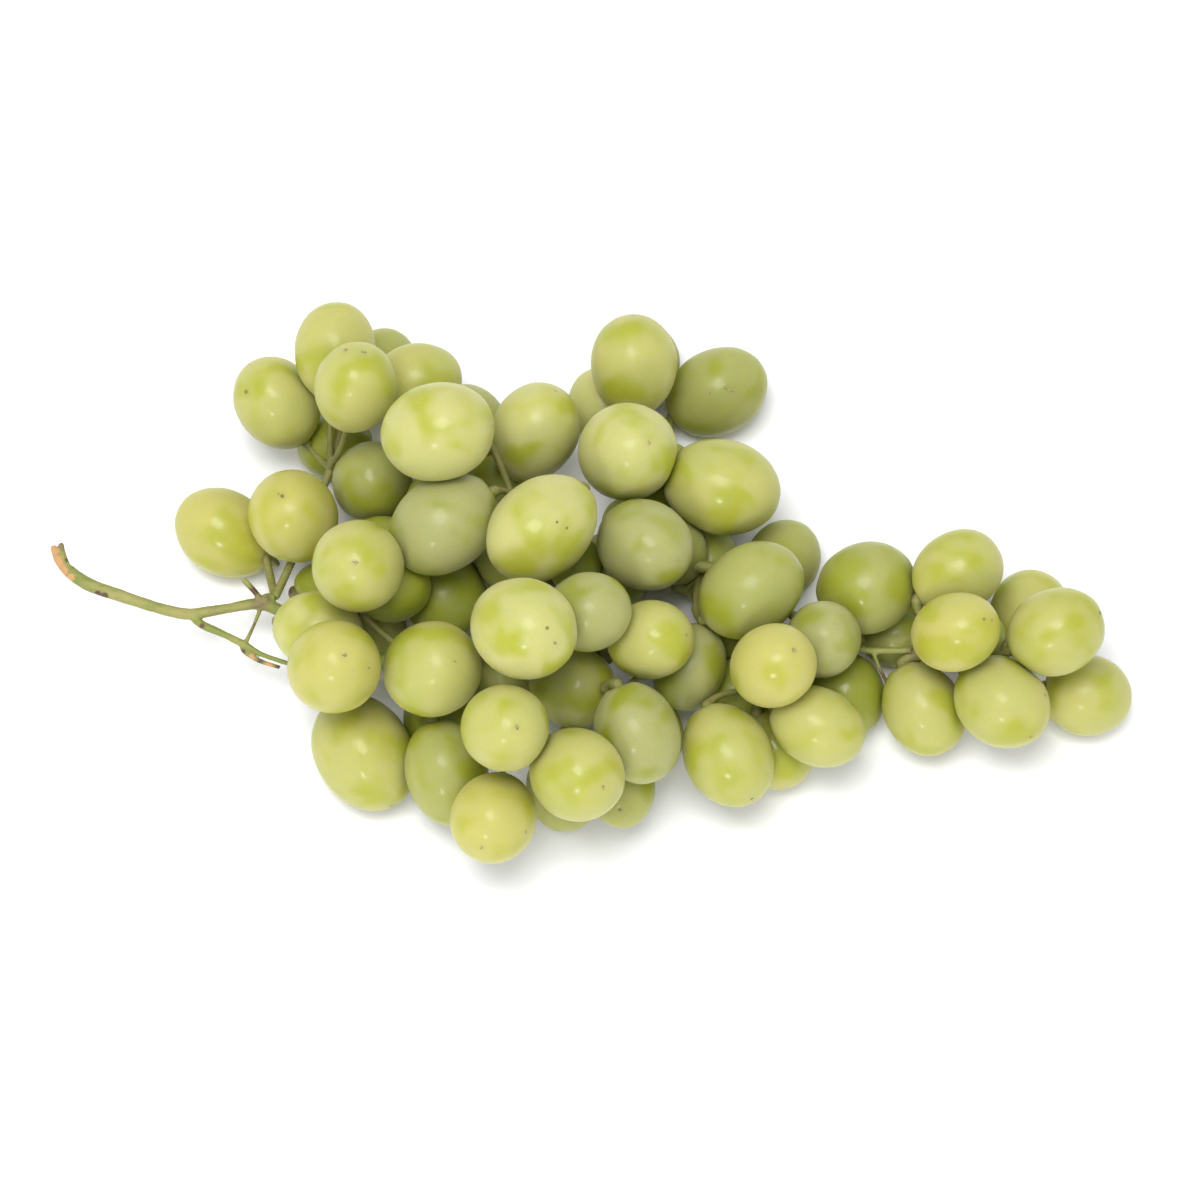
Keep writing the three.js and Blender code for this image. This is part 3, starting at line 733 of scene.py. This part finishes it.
def addMark(bm, spot, normal, width, length, turn):
    made = bmesh.ops.create_icosphere(bm, subdivisions=2, radius=0.5)["verts"]
    stand = normal.to_track_quat("Z", "Y").to_matrix().to_4x4()
    size = Matrix.Diagonal((length, width, markForm["thickness"], 1))
    place = Matrix.Translation(spot) @ stand @ Matrix.Rotation(math.radians(turn), 4, "Z") @ size
    for vert in made:
        bumps = noise.noise(vert.co * markForm["unevenness"] + spot)
        vert.co *= 1 + markForm["uneven"] * bumps
    bmesh.ops.transform(bm, matrix=place, verts=made)
    for face in {face for vert in made for face in vert.link_faces}:
        face.material_index = 1


def growSpray(name):
    bm = bmesh.new()
    look = bm.verts.layers.float_vector.new("look")
    around = bm.verts.layers.float_vector.new("around")
    own = [berry for berry in berries if berry.spray == name]
    for berry in own:
        growBerry(bm, berry, look, around)
    surface = BVHTree.FromBMesh(bm)
    for berry in own:  # the scar of the flower at the tip
        axis = Vector(berry.axis)
        inside = Vector(berry.at) + axis * berry.long * markForm["tipFrom"]
        spot = surface.ray_cast(inside, axis)[0]
        if spot:
            width = markForm["tip"] * chance.uniform(*markForm["tipWidths"])
            length = width * chance.uniform(*markForm["tipLengths"])
            addMark(bm, spot, axis, width, length, chance.uniform(0, 180))
    for across, up, width, length, turn in marks.get(name, []):
        spot, normal = surface.ray_cast(Vector(eye), Vector(seenAt(across, up, 0) - eye).normalized())[:2]
        if spot:
            addMark(bm, spot, normal, width, length, turn)
    title = "berries_" + name.removeprefix("spray_")
    return keepPiece(title, bm, "grape_skin", [skinFinish, speckFinish], name)


for name in sprays:
    growSpray(name)
print("berries grown")

stalkForm = {
    "sides": 10,
    "steps": 12,
    "sunk": 3,  # how deep a stalk goes into its berry
    "reach": 5,  # how far it runs straight out before it bends to the twig
    "collar": 1.45,  # half width of the swelling at the berry
    "collarSunk": 0.2,
    "collarLength": 0.9,
    "collarUntil": 0.6,  # share of the stalk past which there's no swelling
    "thin": 0.62,
    "thicker": 0.25,  # how much the half width grows toward the fork
    "twig": 0.9,
    "twigSteps": 6,
    "grain": 0.3,
    "smooths": 1,
    "dry": 0.5,
}
tubeForm = {
    "uneven": 0.1,  # of the half width
    "unevenness": 0.8,  # how close together the bumps are
    "smoothing": 0.5,
}


# points along a smooth line through the given ones, with the radius run between them
def smoothLine(points, radii, each):
    line = []
    last = len(points) - 1
    for i in range(last):
        a, b = points[max(i - 1, 0)], points[i]
        c, d = points[i + 1], points[min(i + 2, last)]
        for k in range(each if i < last - 1 else each + 1):
            t = k / each
            at = 0.5 * (
                2 * b + (c - a) * t + (2 * a - 5 * b + 4 * c - d) * t * t
                + (3 * b - a - 3 * c + d) * t**3
            )
            line.append((Vector(at), radii[i] + (radii[i + 1] - radii[i]) * t))
    return line


def growTube(bm, line, sides):
    last = len(line) - 1
    ways = [(line[min(i + 1, last)][0] - line[max(i - 1, 0)][0]).normalized() for i in range(last + 1)]
    turn = Vector((0, 0, 1)).rotation_difference(ways[0])
    ring = bmesh.ops.create_circle(bm, cap_ends=True, segments=sides, radius=1)["verts"]
    edges = list({edge for vert in ring for edge in vert.link_edges})
    for vert in ring:
        vert.co = line[0][0] + turn @ (vert.co * line[0][1])
    for i in range(1, len(line)):
        made = bmesh.ops.extrude_edge_only(bm, edges=edges)["geom"]
        edges = [item for item in made if isinstance(item, bmesh.types.BMEdge)]
        earlier = turn.inverted()
        turn = ways[i - 1].rotation_difference(ways[i]) @ turn
        at, radius = line[i]
        for vert in [item for item in made if isinstance(item, bmesh.types.BMVert)]:
            shape = (earlier @ (vert.co - line[i - 1][0])).normalized()
            bumps = noise.noise((at + turn @ shape) * tubeForm["unevenness"])
            vert.co = at + turn @ (shape * radius * (1 + tubeForm["uneven"] * bumps))
    bmesh.ops.edgeloop_fill(bm, edges=edges)


# joins overlapping tubes into one skin
def knit(bm, grain, smooths):
    bmesh.ops.recalc_face_normals(bm, faces=bm.faces)
    mesh = bpy.data.meshes.new("knit")
    bm.to_mesh(mesh)
    bm.free()
    body = bpy.data.objects.new("knit", mesh)
    bpy.context.scene.collection.objects.link(body)
    remesh = body.modifiers.new("join", "REMESH")
    remesh.mode = "VOXEL"
    remesh.voxel_size = grain
    seen = body.evaluated_get(bpy.context.evaluated_depsgraph_get())
    joined = bmesh.new()
    joined.from_mesh(seen.to_mesh())
    bpy.data.objects.remove(body)
    for _ in range(smooths):
        bmesh.ops.smooth_vert(
            joined, verts=joined.verts, factor=tubeForm["smoothing"],
            use_axis_x=True, use_axis_y=True, use_axis_z=True,
        )
    return joined


# how dark, dry and torn the bark is round named places: across, up, radius, dark, dry, torn
barkPlaces = {
    "torn first prong": (-109.5, 10, 1.7, 0, 0.1, 1),
    "torn side below it": (-108.7, 7.7, 1.7, 0, 0.1, 1),
    "torn streak along the lower side": (-107.4, 5.9, 1.3, 0, 0.2, 1),
    "end of that streak": (-105.9, 4.5, 1.1, 0, 0.3, 0.9),
    "brown second prong": (-107.4, 10.8, 1.5, 0.45, 1, 0),
    "dark edge below it": (-106.6, 8, 0.9, 0.7, 0.8, 0),
    "end of that edge": (-105.3, 6.6, 0.8, 0.6, 0.7, 0),
    "scar on the underside": (-100.4, 1.3, 1, 0.9, 0.6, 0),
    "thick end of that scar": (-99.2, 0.7, 1.2, 1, 0.6, 0),
    "dry stretch": (-92, -0.4, 3, 0, 0.25, 0),
    "knot of the lower branch": (-79.6, -5.2, 0.9, 0.8, 0.6, 0),
    "dry stretch past the fork": (-77, -2, 3, 0, 0.5, 0),
    "knot where the stub grows": (-71.4, -10.3, 1, 0.85, 0.6, 0),
    "pale start of the stub": (-69.7, -11.5, 1.3, 0.2, 1, 0.7),
    "bump of the stub": (-68, -12.3, 1, 0.8, 1, 0),
    "pale end of the stub": (-66.2, -12.9, 1.5, 0.2, 1, 0.65),
    "black tip of the stub": (-64, -13.5, 1.3, 1, 0.8, 0),
    "node of the twigs": (-68, -0.8, 2.8, 0.45, 0.9, 0),
    "knot beside the node": (-66.4, 0.4, 1.6, 0.6, 0.6, 0),
    "dark twig": (-69.2, 1.8, 1.7, 0.8, 0.9, 0),
    "cross twig": (-70, -5, 2.4, 0.55, 0.8, 0),
    "twig going in": (-62, 2, 3, 0.6, 0.9, 0),
    "stem going in": (-62, -3.4, 3.4, 0.45, 0.9, 0),
    "twig to the upper berries": (-62, 5, 2.4, 0.15, 0.7, 0),
    "swelling near the tail": (62.4, -10.4, 2, 0.45, 0.8, 0),
    "dried twig near the tail": (56.8, -15.4, 2.6, 0.75, 1, 0.3),
}
barkFade = 1.2  # how fast a marked place fades, per radius squared


def paintBark(bm, dry):
    state = bm.verts.layers.float_vector.new("state")
    seen = seenFrom(np.array([vert.co for vert in bm.verts]))[:, :2]
    values = np.tile((0.0, dry, 0.0), (len(seen), 1))
    for across, up, radius, *marked in barkPlaces.values():
        away = np.linalg.norm(seen - (across, up), axis=1) / radius
        values = np.maximum(values, np.exp(-barkFade * away**2)[:, None] * marked)
    for vert, value in zip(bm.verts, values.tolist()):
        vert[state] = value


def growStem():
    bm = bmesh.new()
    for rows in [stem["main"], *stem["twigs"].values()]:
        points = [seenAt(*row[:3]) for row in rows]
        growTube(bm, smoothLine(points, [row[3] for row in rows], stem["steps"]), stem["sides"])
    bm = knit(bm, stem["grain"], stem["smooths"])
    paintBark(bm, stem["dry"])
    return keepPiece("stem_bark", bm, "stem", [barkFinish], "stem")


def growStalks(name):
    form = stalkForm
    root, bend, fork = twigs[name]
    bm = bmesh.new()
    twig = smoothLine([root, bend, fork], [form["twig"]] * 3, form["twigSteps"])
    growTube(bm, twig, form["sides"])
    for berry in [berry for berry in berries if berry.spray == name]:
        base = berry.at + berry.axis * (form["sunk"] - berry.long)
        collar = berry.at - berry.axis * (berry.long - form["collarSunk"])
        out = berry.at - berry.axis * (berry.long + form["reach"])
        line = []
        for k in range(form["steps"] + 1):
            t = k / form["steps"]
            at = base * (1 - t) ** 2 + out * (2 * t * (1 - t)) + fork * t**2
            past = (collar - at) @ berry.axis
            swell = bell(past, 0, form["collarLength"]) if t < form["collarUntil"] else 0
            radius = form["thin"] + (form["collar"] - form["thin"]) * swell + form["thicker"] * t**3
            line.append((Vector(at), radius))
        growTube(bm, line, form["sides"])
    bm = knit(bm, form["grain"], form["smooths"])
    paintBark(bm, form["dry"])
    title = "stalks_" + name.removeprefix("spray_")
    return keepPiece(title, bm, "stem", [barkFinish], name)


growStem()
for name in sprays:
    growStalks(name)
print("stem and stalks grown")

studio = {
    "floor": (0.9, 0.9, 0.91),
    "floorCloud": (0.84, 0.84, 0.85),
    "floorReach": 6,  # metres from its middle to each side
    "floorDrop": 0.0002,  # metres below the surface
    "world": (0.94, 0.95, 1.0, 1),
    "worldPower": 0.82,
    "lamps": {  # place in metres, width, height, power
        "overhead": ((-0.12, -0.12, 1.2), 0.55, 0.45, 11.5),
        "front": ((-0.3, -1.2, 0.75), 0.2, 0.2, 5),
    },
    "lampsLookAt": (0, 0, 0.02),
    "lens": 150,
    "sensor": 36,
    "farthest": 20,
}


def makeFloor():
    f = Finish("palePaper")
    tint = f.noise(f.add("ShaderNodeTexCoord", {}, {}, 3), 3, 2)
    colour = f.blend(tint * 0.05, studio["floor"], studio["floorCloud"])
    paper = f.finish({"Base Color": colour, "Roughness": 0.85})
    bm = bmesh.new()
    bmesh.ops.create_grid(bm, x_segments=1, y_segments=1, size=studio["floorReach"])
    mesh = bpy.data.meshes.new("floor")
    bm.to_mesh(mesh)
    bm.free()
    mesh.materials.append(paper)
    floor = bpy.data.objects.new("floor", mesh)
    floor.location.z = -studio["floorDrop"]
    bpy.context.scene.collection.objects.link(floor)


def makeLights():
    target = Vector(studio["lampsLookAt"])
    for name, (place, width, height, power) in studio["lamps"].items():
        lamp = bpy.data.lights.new(name, "AREA")
        lamp.shape = "RECTANGLE"
        lamp.size, lamp.size_y = width, height
        lamp.energy = power
        holder = bpy.data.objects.new(name, lamp)
        holder.location = place
        holder.rotation_euler = (target - Vector(place)).to_track_quat("-Z", "Y").to_euler()
        bpy.context.scene.collection.objects.link(holder)
    world = bpy.data.worlds.new("studio")
    world.use_nodes = True
    world.node_tree.nodes["Background"].inputs["Color"].default_value = studio["world"]
    world.node_tree.nodes["Background"].inputs["Strength"].default_value = studio["worldPower"]
    bpy.context.scene.world = world


def makeCamera():
    lens = bpy.data.cameras.new("camera")
    lens.lens = studio["lens"]
    lens.sensor_width = studio["sensor"]
    lens.clip_end = studio["farthest"]
    camera = bpy.data.objects.new("camera", lens)
    camera.location = intoFrame @ Vector(eye)
    camera.rotation_euler = Vector(-eyeAxis).to_track_quat("-Z", "Y").to_euler()
    bpy.context.scene.collection.objects.link(camera)
    bpy.context.scene.camera = camera


makeFloor()
makeLights()
makeCamera()
bpy.context.scene.view_settings.view_transform = "Standard"
bpy.context.scene.view_settings.look = "None"
print("studio set")
